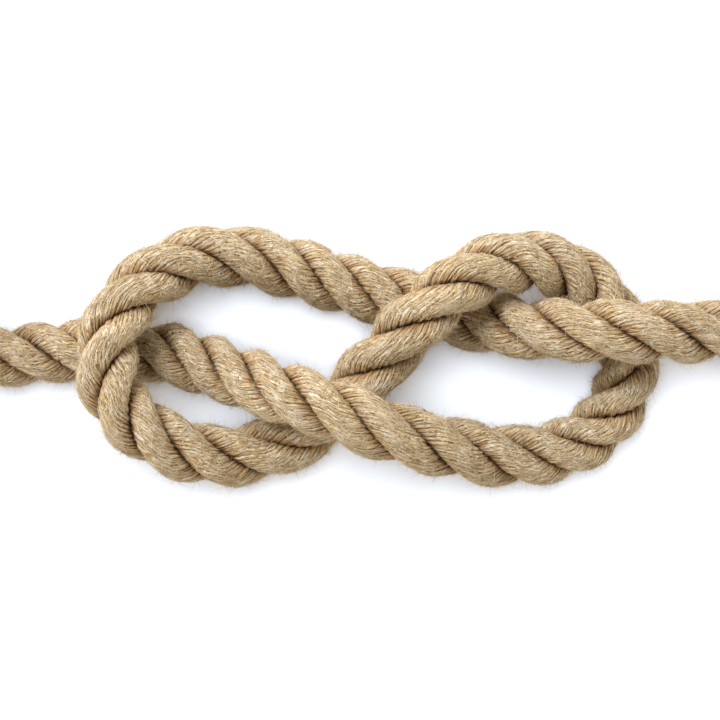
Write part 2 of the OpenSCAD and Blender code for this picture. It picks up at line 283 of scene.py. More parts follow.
def along_line(values, far):
    """Values along the line, such as its points, at the lengths given."""
    far = np.asarray(far, float)
    if values.ndim == 1:
        return np.interp(far, FAR, values)
    return np.stack([np.interp(far, FAR, values[:, k]) for k in range(values.shape[1])], -1)


def strand_section(around):
    """Radius of a strand at an angle from its outward side."""
    turned = np.abs((around + math.pi) % TURN - math.pi) - TURN / 6
    wall = math.sqrt(3) / 2 * STRAND_OUT / np.sin(np.maximum(turned, 0.05))
    wall = np.where(turned > 0.05, wall - STRAND_GAP, 99)
    return (STRAND_R**-CREASE + wall**-CREASE) ** (-1 / CREASE)


def pressed(points):
    """Points near the floor, eased up on to it."""
    z = points[..., 2]
    points[..., 2] = np.where(z < PRESS, PRESS * np.exp(np.minimum(z - PRESS, 0) / PRESS), z)
    return points


def lumps(far, strand):
    """Slow swellings of a strand along its length."""
    return 0.18 * np.sin(far / 7.3 + 2.1 * strand) + 0.16 * np.sin(far / 17.9 + 4.3 * strand)


def yarn_angle(yarn_turn, lay):
    """The angle from a strand's outward side at which a yarn lies, where the lay has an angle."""
    around = TURN * yarn_turn - YARN_BACK * lay
    return around - YARN_CURL * np.sin(2 * around)


def in_section(far, strand, yarn_turn, lift):
    """Across and over the rope's middle: a place on a strand's surface, lifted off it."""
    lay = along_line(LAY_ANGLE, far)
    width = along_line(WIDTH, far)
    around = yarn_angle(yarn_turn, lay)
    angle = lay + TURN * strand / STRANDS
    radius = (strand_section(around) + lumps(far, strand)) * width + lift
    a = width * STRAND_OUT * np.cos(angle) + radius * np.cos(angle + around)
    b = width * STRAND_OUT * np.sin(angle) + radius * np.sin(angle + around)
    return a, b


def in_plan(far, a, b):
    """The point that lies a across and b over the rope's middle."""
    beside = a[..., None] * along_line(ACROSS, far) + b[..., None] * along_line(OVER, far)
    return along_line(LINE, far) + beside


class Shape:
    """Points and faces in the plan, gathered from tubes or fibres, that become one piece."""

    def __init__(self):
        self.points, self.corners, self.starts, self.smooth = [], [], [], []
        self.uvs, self.groove, self.strips, self.cells = [], [], [], []
        self.count, self.corner_count = 0, 0

    def add(self, faces, uvs, smooth):
        """Faces are rows of point numbers, with one pair of uvs for each corner."""
        sides = faces.shape[1]
        self.corners.append((faces + self.count).ravel())
        self.starts.append(self.corner_count + sides * np.arange(len(faces)))
        self.uvs.append(uvs.reshape(-1, 2))
        self.smooth.append(np.full(len(faces), smooth))
        self.corner_count += faces.size

    def tube(self, rings, groove, along, round_from=0.0, round_span=1.0):
        """A closed tube through rings of points. along is each ring's place in metres."""
        n, m = rings.shape[:2]
        number = np.arange(n * m).reshape(n, m)
        after = np.roll(number, -1, 1)
        quads = np.stack([number[:-1], after[:-1], after[1:], number[1:]], -1).reshape(-1, 4)
        self.add(quads, grid_corners(along, round_from + round_span * np.arange(m + 1) / m), True)
        girth = np.linalg.norm(np.diff(rings[n // 2], axis=0, append=rings[n // 2][:1]), axis=1).sum()
        self.strips.append((n, m, (along[-1] - along[0]) / MM, girth))
        for end, ring in enumerate((number[0][::-1], number[-1])):
            fan = np.stack([np.full(m, n * m + end), ring, np.roll(ring, -1)], -1)
            spot = np.array([along[-end], round_from + round_span / 2])
            self.add(fan, np.broadcast_to(spot, (3 * m, 2)), False)
        self.points += [rings.reshape(-1, 3), np.stack([rings[0].mean(0), rings[-1].mean(0)])]
        # The middle of each end cap counts as 0.8 deep in a groove, so the finish paints groove shade
        # on it.
        self.groove += [np.broadcast_to(groove, (n, m)).ravel(), np.array([0.8, 0.8])]
        self.count += n * m + 2

    def fibres(self, lines, radius, shades):
        """Fine tapered fibres with three sides. lines holds each one's points."""
        h, n = lines.shape[:2]
        heading = np.gradient(lines, axis=1)
        heading /= np.maximum(np.linalg.norm(heading, axis=2), 1e-9)[..., None]
        side = np.cross(heading, np.array([0.3, 0.5, 0.81]))
        side /= np.maximum(np.linalg.norm(side, axis=2), 1e-9)[..., None]
        other = np.cross(heading, side)
        taper = np.linspace(1, 0.4, n - 1)[None, :, None] * radius[:, None, None]
        turn = TURN * np.arange(3) / 3
        rings = lines[:, :-1, None] + (taper * np.cos(turn))[..., None] * side[:, :-1, None]
        rings = rings + (taper * np.sin(turn))[..., None] * other[:, :-1, None]
        each = 3 * (n - 1) + 1
        faces = [[0, 2, 1]]
        for ring in range(0, 3 * (n - 2), 3):
            for k in range(3):
                a, b = ring + k, ring + (k + 1) % 3
                faces += [[a, b, b + 3], [a, b + 3, a + 3]]
        top = 3 * (n - 2)
        faces += [[top + k, top + (k + 1) % 3, each - 1] for k in range(3)]
        every = (np.array(faces)[None] + each * np.arange(h)[:, None, None]).reshape(-1, 3)
        uvs = np.repeat(shades, len(faces) * 3)
        self.add(every, np.stack([uvs, uvs], -1), True)
        self.cells.append((h, len(faces)))
        self.points.append(np.concatenate([rings.reshape(h, -1, 3), lines[:, -1:]], 1).reshape(-1, 3))
        self.groove.append(np.zeros(h * each))
        self.count += h * each

    def flat_map(self):
        """Places for every corner on one flat sheet, where no two strips overlap."""
        if self.cells:
            faces = np.concatenate([np.full(h, each) for h, each in self.cells])
            return cell_corners(faces)
        side = math.sqrt(sum(length * girth for _, _, length, girth in self.strips)) * 1.06
        made, x, y, row = [], 0.0, 0.0, 0.0
        for n, m, length, girth in self.strips:
            cuts = np.linspace(0, n - 1, math.ceil(length / side) + 1).round().astype(int)
            for start, stop in zip(cuts[:-1], cuts[1:]):
                long = length * (stop - start) / (n - 1)
                if x + long > side * 1.001:
                    x, y, row = 0.0, y + row, 0.0
                low, high = y + 0.02 * girth, y + 0.98 * girth
                made.append(grid_corners(np.linspace(x, x + long * 0.995, stop - start + 1),
                                         np.linspace(low, high, m + 1)).reshape(-1, 2))
                x, row = x + long, max(row, girth)
            cap = made[-1][:1] + np.array([[0, 0], [0.6, 0], [0, 0.6]])
            made += [np.tile(cap, (m, 1))] * 2
        flat = np.concatenate(made)
        return 0.002 + 0.996 * flat / flat.max()

    def piece(self, name, material, slot):
        """The finished object, with its place in its mesh."""
        mesh = bpy.data.meshes.new(name)
        points = placed(np.concatenate(self.points))
        corners = np.concatenate(self.corners)
        starts = np.concatenate(self.starts)
        mesh.vertices.add(len(points))
        mesh.vertices.foreach_set("co", points.astype(np.float32).ravel())
        mesh.loops.add(len(corners))
        mesh.loops.foreach_set("vertex_index", corners.astype(np.int32))
        mesh.polygons.add(len(starts))
        mesh.polygons.foreach_set("loop_start", starts.astype(np.int32))
        mesh.update(calc_edges=True)
        mesh.polygons.foreach_set("use_smooth", np.concatenate(self.smooth))
        for layer_name, uvs in (("UVMap", np.concatenate(self.uvs)), ("OFBake", self.flat_map())):
            layer = mesh.uv_layers.new(name=layer_name)
            layer.data.foreach_set("uv", uvs.astype(np.float32).ravel())
        groove = mesh.attributes.new("groove", "FLOAT", "POINT")
        groove.data.foreach_set("value", np.concatenate(self.groove).astype(np.float32))
        mesh.validate()
        mesh.materials.append(material)
        made = bpy.data.objects.new(name, mesh)
        bpy.context.scene.collection.objects.link(made)
        return made


def grid_corners(along, around):
    """The corners of a grid of faces, four pairs to a face."""
    u, v = np.meshgrid(along, around, indexing="ij")
    near = [u[:-1, :-1], v[:-1, :-1], u[:-1, 1:], v[:-1, 1:]]
    far = [u[1:, 1:], v[1:, 1:], u[1:, :-1], v[1:, :-1]]
    return np.stack(near + far, -1).reshape(-1, 2)


def cell_corners(faces):
    """One cell of a square grid for each fibre, which all its faces share."""
    side = math.ceil(math.sqrt(len(faces)))
    number = np.arange(len(faces))
    low = np.stack([number % side, number // side], -1)
    spots = low[:, None] + np.array([[0.1, 0.1], [0.9, 0.1], [0.1, 0.9]])
    return np.repeat(spots / side, faces, axis=0).reshape(-1, 2)


class Socket:
    """A value in a material. Arithmetic on it adds Math nodes."""

    def __init__(self, finish, socket):
        self.finish, self.socket = finish, socket

    def maths(self, operation, first, second=0.0):
        return self.finish.node("ShaderNodeMath", {"operation": operation}, {0: first, 1: second})

    def __add__(self, other):
        return self.maths("ADD", self, other)

    __radd__ = __add__

    def __sub__(self, other):
        return self.maths("SUBTRACT", self, other)

    def __rsub__(self, other):
        return self.maths("SUBTRACT", other, self)

    def __mul__(self, other):
        return self.maths("MULTIPLY", self, other)

    __rmul__ = __mul__

    def larger(self, other):
        return self.maths("MAXIMUM", self, other)

    def floor(self):
        return self.maths("FLOOR", self)

    def fraction(self):
        return self.maths("FRACT", self)

    def line(self, centre, width):
        """1 along the thin line where a value passes a centre, 0 beside it."""
        return 1 - self.maths("ABSOLUTE", self - centre).ramp(0.0, width)

    def ramp(self, low, high):
        """0 below low, 1 above high, and a smooth step between them."""
        return self.finish.node("ShaderNodeMapRange", {"interpolation_type": "SMOOTHSTEP"},
                                {"Value": self, "From Min": low, "From Max": high})


class Nodes:
    """A node tree whose nodes are added by kind."""

    def __init__(self, tree):
        self.tree = tree

    def node(self, kind, settings=None, inputs=None, output=0):
        made = self.tree.nodes.new(kind)
        for name, value in (settings or {}).items():
            setattr(made, name, value)
        for name, value in (inputs or {}).items():
            if isinstance(value, Socket):
                self.tree.links.new(value.socket, made.inputs[name])
            else:
                made.inputs[name].default_value = value
        return Socket(self, made.outputs[output])

    def shown(self):
        """1 for rays that show the background: to the camera, off gloss and through glass."""
        path = self.node("ShaderNodeLightPath").socket.node
        rays = ("Is Camera Ray", "Is Glossy Ray", "Is Transmission Ray")
        seen, glossy, through = (Socket(self, path.outputs[ray]) for ray in rays)
        return seen.larger(glossy.larger(through))

    def end(self, shader):
        """The shader that the whole tree gives."""
        out = next(n for n in self.tree.nodes if n.type.startswith("OUTPUT"))
        self.tree.links.new(shader.socket, out.inputs["Surface"])


class Finish(Nodes):
    """A material whose nodes are added by name."""

    def __init__(self, name, roughness, sheen):
        self.material = bpy.data.materials.new(name)
        self.material.use_nodes = True
        super().__init__(self.material.node_tree)
        self.shader = self.tree.nodes["Principled BSDF"]
        self.shader.inputs["Roughness"].default_value = roughness
        self.shader.inputs["Sheen Weight"].default_value = sheen
        self.shader.inputs["Specular IOR Level"].default_value = 0.1

    def set(self, name, value):
        """Link a value to one of the shader's inputs."""
        self.tree.links.new(value.socket, self.shader.inputs[name])

    def mix(self, share, first, second):
        """Two colours mixed by a share."""
        return self.node("ShaderNodeMix", {"data_type": "RGBA"}, {0: share, 6: first, 7: second}, 2)

    def place(self):
        """The piece's own length along and place round, from its UV map."""
        uv = self.node("ShaderNodeUVMap", {"uv_map": "UVMap"})
        along = self.node("ShaderNodeSeparateXYZ", None, {0: uv})
        return along, Socket(self, along.socket.node.outputs[1])

    def noise(self, x, y, z=0.0, detail=2.0, roughness=0.5):
        """Noise in the piece's own length and place round."""
        spot = self.node("ShaderNodeCombineXYZ", None, {0: x, 1: y, 2: z})
        return self.node("ShaderNodeTexNoise", None,
                         {"Vector": spot, "Scale": 1.0, "Detail": detail, "Roughness": roughness})

    def patches(self, scale, detail):
        """Noise in the object's own space, for tones that don't follow the rope."""
        spot = self.node("ShaderNodeTexCoord", None, None, 3)
        return self.node("ShaderNodeTexNoise", None, {"Vector": spot, "Scale": scale, "Detail": detail})

    def groove(self):
        """How deep between two strands or plies a place is, from 0 to 1."""
        return self.node("ShaderNodeAttribute", {"attribute_name": "groove"}, None, 2)

    def bump(self, height, strength, distance):
        self.set("Normal", self.node("ShaderNodeBump", None, {"Strength": strength,
                                                              "Distance": distance, "Height": height}))


def rgb(red, green, blue):
    """A colour given as it looks on a screen, from 0 to 255, as the light that it reflects."""
    def light(c):
        c = c / 255
        return c / 12.92 if c <= 0.04045 else ((c + 0.055) / 1.055) ** 2.4
    return (light(red), light(green), light(blue), 1.0)


def hemp_finish():
    """Laid hemp: straw-coloured yarns, each a little different, with painted shade in the grooves."""
    made = Finish("hemp", 0.92, 0.25)
    made.shader.inputs["Sheen Tint"].default_value = rgb(250, 222, 170)
    along, around = made.place()
    yarn = around * YARNS
    number = yarn.floor()
    own = made.node("ShaderNodeTexWhiteNoise", {"noise_dimensions": "1D"}, {"W": number})
    # Random patches where the painted shade between yarns shows.
    gap_shade_patches = made.noise(along * 95, number * 3.7, 2.0, 2.0)
    streak = made.noise(along * 150, yarn * 3.2, 0.0, 1.0)
    fine = made.noise(along * 290, yarn * 6.0, 5.0, 1.0)
    slanting = made.noise(along * 130 + yarn * 0.5, yarn * 4.2 - along * 420, 9.0, 1.0)
    matted = made.patches(150.0, 1.0)
    pale_fibre = made.noise(along * 150, yarn * 1.2, 3.0, 1.0).line(0.5, 0.05) * matted.ramp(0.4, 0.55)
    dark_fibre = made.noise(along * 130, yarn * 1.4, 7.0, 1.0).line(0.5, 0.04)
    dark_fibre = dark_fibre * (1 - matted.ramp(0.45, 0.6))
    curl = made.patches(400.0, 0.0).line(0.5, 0.06) * matted.ramp(0.52, 0.62)
    grain = made.patches(1700.0, 1.0)
    depth = made.groove()
    beside = yarn.fraction()
    # The painted shade between yarns grows towards the grooves.
    gap_shade_by_groove = 0.65 + 0.35 * depth.ramp(0.05, 0.45)
    gap = (1 - (beside * (1 - beside) * 4).ramp(0.05, 0.7)) * gap_shade_patches.ramp(0.36, 0.52) * gap_shade_by_groove
    base = made.mix(made.patches(24.0, 3.0).ramp(0.38, 0.62), rgb(222, 188, 131), rgb(214, 183, 133))
    base = made.mix(own * 0.3, base, rgb(190, 154, 98))
    base = made.mix(streak.ramp(0.52, 0.66) * 0.45, base, rgb(248, 234, 200))
    base = made.mix((1 - streak.ramp(0.34, 0.46)) * 0.45, base, rgb(142, 107, 62))
    base = made.mix(fine.ramp(0.54, 0.64) * 0.9, base, rgb(252, 240, 216))
    base = made.mix((1 - fine.ramp(0.36, 0.46)) * 0.95, base, rgb(112, 79, 40))
    base = made.mix(slanting.ramp(0.57, 0.65) * 0.4, base, rgb(252, 244, 220))
    # Painted shade: dark brown in the valleys between yarns.
    base = made.mix(gap * 0.9, base, rgb(84, 51, 16))
    base = made.mix(dark_fibre * 0.75, base, rgb(92, 59, 22))
    base = made.mix(pale_fibre * 0.55, base, rgb(255, 248, 230))
    base = made.mix(curl * 0.6, base, rgb(255, 248, 228))
    base = made.mix(grain.ramp(0.5, 0.7) * 0.25, base, rgb(252, 242, 214))
    base = made.mix((1 - grain.ramp(0.3, 0.5)) * 0.28, base, rgb(108, 70, 22))
    # Painted shade by groove depth: warm brown on the grooves' flanks, dark brown deep in them.
    base = made.mix(depth.ramp(0.1, 0.7) * 0.45, base, rgb(156, 106, 40))
    base = made.mix(depth.ramp(0.6, 1.0) * 0.85, base, rgb(74, 38, 4))
    made.set("Base Color", base)
    made.bump(streak * 0.5 + fine * 0.4 + slanting * 0.3 + pale_fibre * 0.5 - gap * 0.8, 0.8, 0.0007)
    return made.material


def fibre_finish():
    """Loose fibres, from pale straw to brown."""
    made = Finish("hemp_fibre", 0.7, 0.0)
    shade, _ = made.place()
    pale = made.mix(shade.ramp(0.0, 0.6), rgb(246, 234, 206), rgb(214, 186, 138))
    made.set("Base Color", made.mix(shade.ramp(0.6, 1.0), pale, rgb(136, 100, 56)))
    return made.material


def twine_finish(name, roughness, light, mid, dark):
    """Laid twine: fine fibres that follow its plies, with painted shade between the plies."""
    made = Finish(name, roughness, 0.05)
    along, around = made.place()
    fibre = made.noise(along * 900, around * 30, 0.0, 3.0, 0.65)
    patch = made.noise(along * 60, around * 2, 4.0, 2.0)
    base = made.mix(patch.ramp(0.35, 0.65), mid, light)
    base = made.mix((1 - fibre.ramp(0.3, 0.55)) * 0.7, base, dark)
    base = made.mix(fibre.ramp(0.6, 0.8) * 0.4, base, light)
    # Painted shade between the plies, in the dark colour.
    base = made.mix(made.groove() * 0.7, base, dark)
    made.set("Base Color", base)
    made.bump(fibre, 0.5, 0.0003)
    return made.material


hemp = hemp_finish()
hemp_fibre = fibre_finish()
tarred = twine_finish("tarred_twine", 0.75, rgb(158, 130, 94), rgb(136, 108, 74), rgb(72, 52, 32))
waxed = twine_finish("waxed_twine", 0.5, rgb(216, 200, 170), rgb(196, 178, 146), rgb(120, 98, 66))


# The eye's strands that are tucked into the rope: length and radii
TUCK_LEN = 84.0
TUCK_R = 3.7
TUCK_END_R = 2.2
# How far past the throat it is round, has left its own leg, and begins to thin out
TUCK_ROUND = 16.0
TUCK_LEAVES = 34.0
TUCK_THINS = 70.0
# Where a tucked strand runs: how far off the rope's middle, how much it rises and dips, its own lay
TUCK_OUT = 8.6
TUCK_RISE = 2.9
TUCK_LAY = 95.0


def tuck_line(strand, past):
    """The middle of one of the eye's strands, from the throat on, over and under the rope's strands."""
    far = EYE_TO + past
    turn = math.pi - LAY_ANGLE[0] - TURN * past / TUCK_LAY - TURN * strand / STRANDS
    rise = TUCK_OUT + TUCK_RISE * np.cos(STRANDS / 2 * (turn - along_line(LAY_ANGLE, far)))
    tucked = in_plan(far, rise * np.cos(turn), rise * np.sin(turn))
    angle = LAY_ANGLE[0] - TURN * past / (STRANDS * HANK_LAY) + TURN * strand / STRANDS
    leaving = LINE[0] - past[:, None] * HEADING[0]
    leaving = leaving + STRAND_OUT * np.cos(angle)[:, None] * ACROSS[0]
    leaving = leaving + STRAND_OUT * np.sin(angle)[:, None] * OVER[0]
    share = ease(past / TUCK_LEAVES)[:, None]
    return leaving * (1 - share) + tucked * share


def carried(line, across):
    """Two directions square to a line, carried along it without twist from a first one."""
    heading = np.gradient(line, axis=0)
    heading /= np.linalg.norm(heading, axis=1)[:, None]
    side = np.zeros_like(line)
    for i, ahead in enumerate(heading):
        across = across - ahead * across.dot(ahead)
        across = across / np.linalg.norm(across)
        side[i] = across
    return side, np.cross(heading, side)


def strand_relief(far, strand, per_yarn):
    """Where a strand's yarns lie round it, how far each stands up, and how deep it is between them."""
    columns = YARNS * per_yarn
    number = np.arange(columns) // per_yarn
    rng = np.random.default_rng(40 + strand)
    height = rng.uniform(0.0, 0.16, YARNS)[number]
    phase = rng.uniform(0, TURN, YARNS)[number]
    drift = rng.uniform(25, 60, YARNS)[number]
    wide = rng.uniform(0.65, 1.4, YARNS)
    before = (np.cumsum(wide) - wide)[number]
    turn = (before + wide[number] * (np.arange(columns) % per_yarn) / per_yarn) / wide.sum()
    turn = turn + 0.01 * np.sin(far / (0.7 * drift) + 2 * phase)
    ridge = height + 0.1 * np.sin(far / drift * TURN + phase)
    valley = 0.3 + 0.14 * np.sin(far / 4.9 + 3 * phase) + 0.1 * np.sin(far / 11.3 + phase)
    return turn, ridge, valley * (np.arange(columns) % per_yarn == 0), height - 0.08


# The shares of the rope's radius at which a groove starts and that it is deep
GROOVE_TOP = 0.99
GROOVE_DEEP = 0.36


def laid_rings(far, sunk, strand, per_yarn):
    """Rings of points along one strand of the rope, and how deep in a groove each point is."""
    turn, ridge, valley, stands = strand_relief(far, strand, per_yarn)
    every = np.broadcast_to(far, turn.shape)
    a, b = in_section(every, strand, turn, 0.0)
    reach = np.hypot(a, b) / (ROPE_R * along_line(WIDTH, far))
    groove = np.clip((GROOVE_TOP - reach) / GROOVE_DEEP, 0, 1)
    near_groove = np.minimum(groove / 0.5, 1)
    lift = ridge + 3 * near_groove * stands - valley * (0.6 + 1.6 * near_groove) - sunk
    a, b = in_section(every, strand, turn, lift)
    return in_plan(every, a, b), groove


def tucked_rings(past, strand, per_yarn, groove):
    """The same strand past the throat, where it leaves its leg and is tucked, with rounder rings."""
    turn, ridge, valley, _ = strand_relief(-past[:, None], strand, per_yarn)
    line = tuck_line(strand, past)
    side, other = carried(line[0] - line, ACROSS[0])
    around = yarn_angle(turn, LAY_ANGLE[0])
    twist = (YARN_BACK - 1) * TURN * past / (STRANDS * HANK_LAY)
    angle = LAY_ANGLE[0] + TURN * strand / STRANDS + around + twist[:, None]
    radii = [STRAND_R, TUCK_R, 0.9 * TUCK_R, TUCK_END_R]
    round_r = np.interp(past, [0, TUCK_LEAVES, TUCK_THINS, TUCK_LEN], radii)[:, None]
    share = ease(past / TUCK_ROUND)[:, None]
    radius = strand_section(around) * (1 - share) + round_r * share
    radius = radius + (ridge - valley * 0.8) * np.minimum(round_r / STRAND_R, 1)
    rings = line[:, None] + (radius * np.cos(angle))[..., None] * side[:, None]
    rings = rings + (radius * np.sin(angle))[..., None] * other[:, None]
    return rings, groove * (1 - share) + 0.12 * share


# How far the ring past the end of a stretch of rope is sunk
RING_SUNK = 0.15


def rope_piece(name, far_from, far_to, ring_step, per_yarn, tucked=False):
    """A stretch of the rope: three strands whose surface follows their yarns."""
    shape = Shape()
    far = np.linspace(far_from, far_to, int(round((far_to - far_from) / ring_step)) + 1)
    # One sunken ring past an end lies in the next stretch, if there is one, so that no seam shows
    sunk = np.zeros(len(far) + 2)
    sunk[[0, -1]] = RING_SUNK
    far = np.concatenate([[far_from - ring_step], far, [far_to + ring_step]])
    if tucked:
        far, sunk = far[1:], sunk[1:]
    if far_to == ROPE_END:
        far, sunk = far[:-1], sunk[:-1]
    past = np.arange(ring_step, TUCK_LEN, ring_step)
    for strand in range(STRANDS):
        points, groove = laid_rings(far[:, None], sunk[:, None], strand, per_yarn)
        along = far
        if tucked:
            rings, depth = tucked_rings(np.concatenate([[0], past]), strand, per_yarn, groove[0])
            points = np.concatenate([rings[:0:-1], points])
            groove = np.concatenate([depth[:0:-1], groove])
            along = np.concatenate([-past[::-1], far])
        shape.tube(pressed(points), groove, along * MM, strand)
    return shape.piece(name, hemp, "rope")


def twisted_tube(shape, line, radius, plies, per_ply, depth, pitch, round_span=1.0, groove=0.8):
    """A tube of twisted plies or yarns along a line, added to a shape."""
    step = np.linalg.norm(np.diff(line, axis=0), axis=1)
    far = np.concatenate([[0], np.cumsum(step)])
    side, other = carried(line, np.cross(line[1] - line[0], [0.31, 0.42, 0.85]))
    share = np.arange(plies * per_ply) / (plies * per_ply)
    dip = 1 - np.abs(np.sin(np.pi * share * plies))
    out = np.broadcast_to(radius, len(line))[:, None] * (1 - depth * dip)
    turn = TURN * (share + far[:, None] / pitch)
    rings = line[:, None] + (out * np.cos(turn))[..., None] * side[:, None]
    rings = rings + (out * np.sin(turn))[..., None] * other[:, None]
    # The depth between plies, times groove, sets how much painted shade the finish puts there.
    shape.tube(pressed(rings), dip * groove, far * MM, 0.0, round_span)


# The share of the rope's radius past which fibres start, and over which they bridge a groove
FUZZ_FROM = 0.8


def hairs(name, far_from, far_to, lying, standing, short, seed):
    """Loose fibres of a stretch of rope: some lie along its yarns, some stand off it, some are fuzz."""
    rng = np.random.default_rng(seed)
    spare = int(lying * 1.6)
    count = spare + standing + short
    tries = 3 * count
    far = rng.uniform(far_from + 1, far_to - 1, tries)
    strand = rng.integers(0, STRANDS, tries)
    turn = rng.uniform(0, 1, tries)
    a, b = in_section(far, strand, turn, 0.0)
    outer = np.flatnonzero(np.hypot(a, b) > FUZZ_FROM * ROPE_R * along_line(WIDTH, far))[:count]
    far, strand, turn, a, b = (x[outer][:, None] for x in (far, strand, turn, a, b))
    shape = Shape()

    def drawn(low, high, size):
        return rng.uniform(low, high, (size, 1))

    # The lying ones keep near their yarns, and bridge a groove that they cross
    t = np.linspace(0, 1, 4)[None]
    length = drawn(3, 11, spare) * rng.choice([-1, 1], (spare, 1))
    slant = rng.normal(0, 0.35, (spare, 1)) + rng.choice([0, 0, -0.9, 0.9], (spare, 1))
    lie_far = np.clip(far[:spare] + length * np.cos(slant) * t, far_from, far_to)
    lie_turn = turn[:spare] + length * np.sin(slant) * t / (TURN * STRAND_R)
    lift = -0.15 + (0.3 + drawn(0, 0.5, spare)) * np.sin(math.pi * (0.15 + 0.7 * t))
    lift = lift + drawn(0, 0.5, spare) * t**2
    lie_a, lie_b = in_section(lie_far, strand[:spare], lie_turn, lift)
    reach = np.hypot(lie_a, lie_b) / (ROPE_R * along_line(WIDTH, lie_far))
    kept = np.flatnonzero((reach < FUZZ_FROM).sum(1) < 2)[:lying]
    bridge = np.maximum(reach, FUZZ_FROM) / reach
    lines = in_plan(lie_far, lie_a * bridge, lie_b * bridge)[kept]
    shape.fibres(pressed(lines), rng.uniform(0.08, 0.15, len(kept)), rng.beta(1.1, 2.8, len(kept)))

    # The others lean over and curl
    up_a, up_b = in_section(far, strand, turn, 1.0)
    up_a, up_b = up_a - a, up_b - b
    kinds = ((spare, standing, 4, 1.55), (spare + standing, short, 3, 0.8))
    for start, size, points, longest in kinds:
        these = slice(start, start + size)
        t = np.linspace(0, 1, points)[None]
        length = longest * (np.minimum(rng.gamma(2.0, 0.95, (size, 1)), 4.5) + 0.8)
        tilt = drawn(0.35, 1.5, size)
        lean = drawn(0, TURN, size)
        rise = length * np.sin(tilt) * (t - drawn(0.2, 0.95, size) * t**2) - 0.15
        slide = length * (np.cos(tilt) * t * np.sin(lean) + rng.normal(0, 0.6, (size, 1)) * t**2)
        at = far[these] + length * np.cos(tilt) * t * np.cos(lean)
        lines = in_plan(at, a[these] + up_a[these] * rise - up_b[these] * slide,
                        b[these] + up_b[these] * rise + up_a[these] * slide)
        shape.fibres(pressed(lines), rng.uniform(0.055, 0.09, size), rng.uniform(0.15, 0.85, size))
    return shape.piece(name, hemp_fibre, "rope")


def row_point(point):
    """One plan point as plain numbers of the CAD frame."""
    return tuple(float(x) for x in placed(point))


EYE_BEND = {"start": row_point(throat), "end": row_point(throat + [0.2 * EYE_LEN, 0, 0])}

KNOT_FUZZ_PIECES = 3

knot_rope = rope_piece("knot_rope", KNOT_FROM, ROPE_END, 2.6, 3)
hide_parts("standing_part", "right_bight", "crossing_turn", "left_bight",
            "working_part", "tail_bend", "tail")
knot_fuzz = [hairs(f"knot_fuzz_{i + 1}", KNOT_FROM, ROPE_END, 4000, 4400, 6500, 70 + i)
             for i in range(KNOT_FUZZ_PIECES)]
for piece in (knot_rope, *knot_fuzz):
    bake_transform(piece)

lead_rope = rope_piece("lead_rope", LEAD_FROM, KNOT_FROM, 2.6, 3)
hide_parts("lead_bend")
lead_fuzz = hairs("lead_fuzz", LEAD_FROM, KNOT_FROM, 2400, 1200, 4000, 80)
for piece in (lead_rope, lead_fuzz):
    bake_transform(piece)

hank_upper = rope_piece("hank_upper_rope", SPLICE_TO, CLIMB_AT, 3.5, 2)
hank_lower = rope_piece("hank_lower_rope", CLIMB_AT, LEAD_FROM, 3.5, 2)
upper_fuzz = hairs("hank_upper_fuzz", SPLICE_TO, CLIMB_AT, 4000, 2000, 6000, 85)
lower_fuzz = hairs("hank_lower_fuzz", CLIMB_AT, LEAD_FROM, 4000, 2000, 6000, 86)
for piece in (hank_upper, hank_lower):
    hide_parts("hank")

eye_rope = rope_piece("eye_rope", 0.0, SPLICE_TO, 2.6, 3, tucked=True)
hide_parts("eye_splice", "eye_throat", "eye_loop")
eye_fuzz = hairs("eye_fuzz", 0.0, EYE_TO, 3000, 1500, 5000, 90)
splice_fuzz = hairs("splice_fuzz", EYE_TO, SPLICE_TO, 1000, 600, 1500, 95)
for piece in (eye_rope, eye_fuzz):
    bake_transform(piece)

TIE_R = 1.5
TIE_TURNS = 3
TIE_PITCH = 3.2
TIE_SNUG = 1.2


def tie_corners():
    """Each corner that the tie goes round: y and z from the hank's middle, and its own radius."""
    near = -(end_r - WAIST_IN)
    far = FOLD_R + loop_step * (mid_turn - 0.5) - WAIST_IN
    low = FLOOR_Z + WAIST_LIFT
    splice_r = ROPE_R + 3 * math.sin(math.pi * SPLICE_BEFORE / SPLICE_LEN)
    hank = [(near, low + LAYER), (near, low), (far, low), (far, low + LAYER)]
    return [(eye_y, top_z, splice_r + TIE_SNUG), *((y, z, ROPE_R + TIE_SNUG) for y, z in hank)]


def tie_belt():
    """One turn of the tie as points of y and z, from the slope behind the splice."""
    corners = tie_corners()

    def leaves(a, b):
        gap = math.hypot(b[0] - a[0], b[1] - a[1])
        return math.atan2(b[1] - a[1], b[0] - a[0]) - math.acos((a[2] - b[2]) / gap)

    turn = []
    for i, corner in enumerate(corners):
        start = leaves(corners[i - 1], corner)
        stop = leaves(corner, corners[(i + 1) % len(corners)])
        stop = start + (stop - start) % TURN
        a = np.linspace(start, stop, 14)
        turn.append(np.stack([corner[0] + corner[2] * np.cos(a), corner[1] + corner[2] * np.sin(a)], 1))
    turn = np.vstack(turn)
    first = (turn[-1] + turn[0]) / 2
    return first, turn


def waist_tie_piece():
    """Three turns of twine round the hank's waist and the splice."""
    first, turn = tie_belt()
    flat = np.vstack([[first], *[turn] * TIE_TURNS, [first]])
    line = np.column_stack([np.zeros(len(flat)), flat])
    line = evened(line, 0.9)
    line[:, 0] = (np.linspace(0, 1, len(line)) - 0.5) * TIE_TURNS * TIE_PITCH
    shape = Shape()
    twisted_tube(shape, HANK_MID + line, TIE_R, 3, 4, 0.16, 10.0)
    return shape.piece("waist_tie_twine", tarred, "tie_twine")


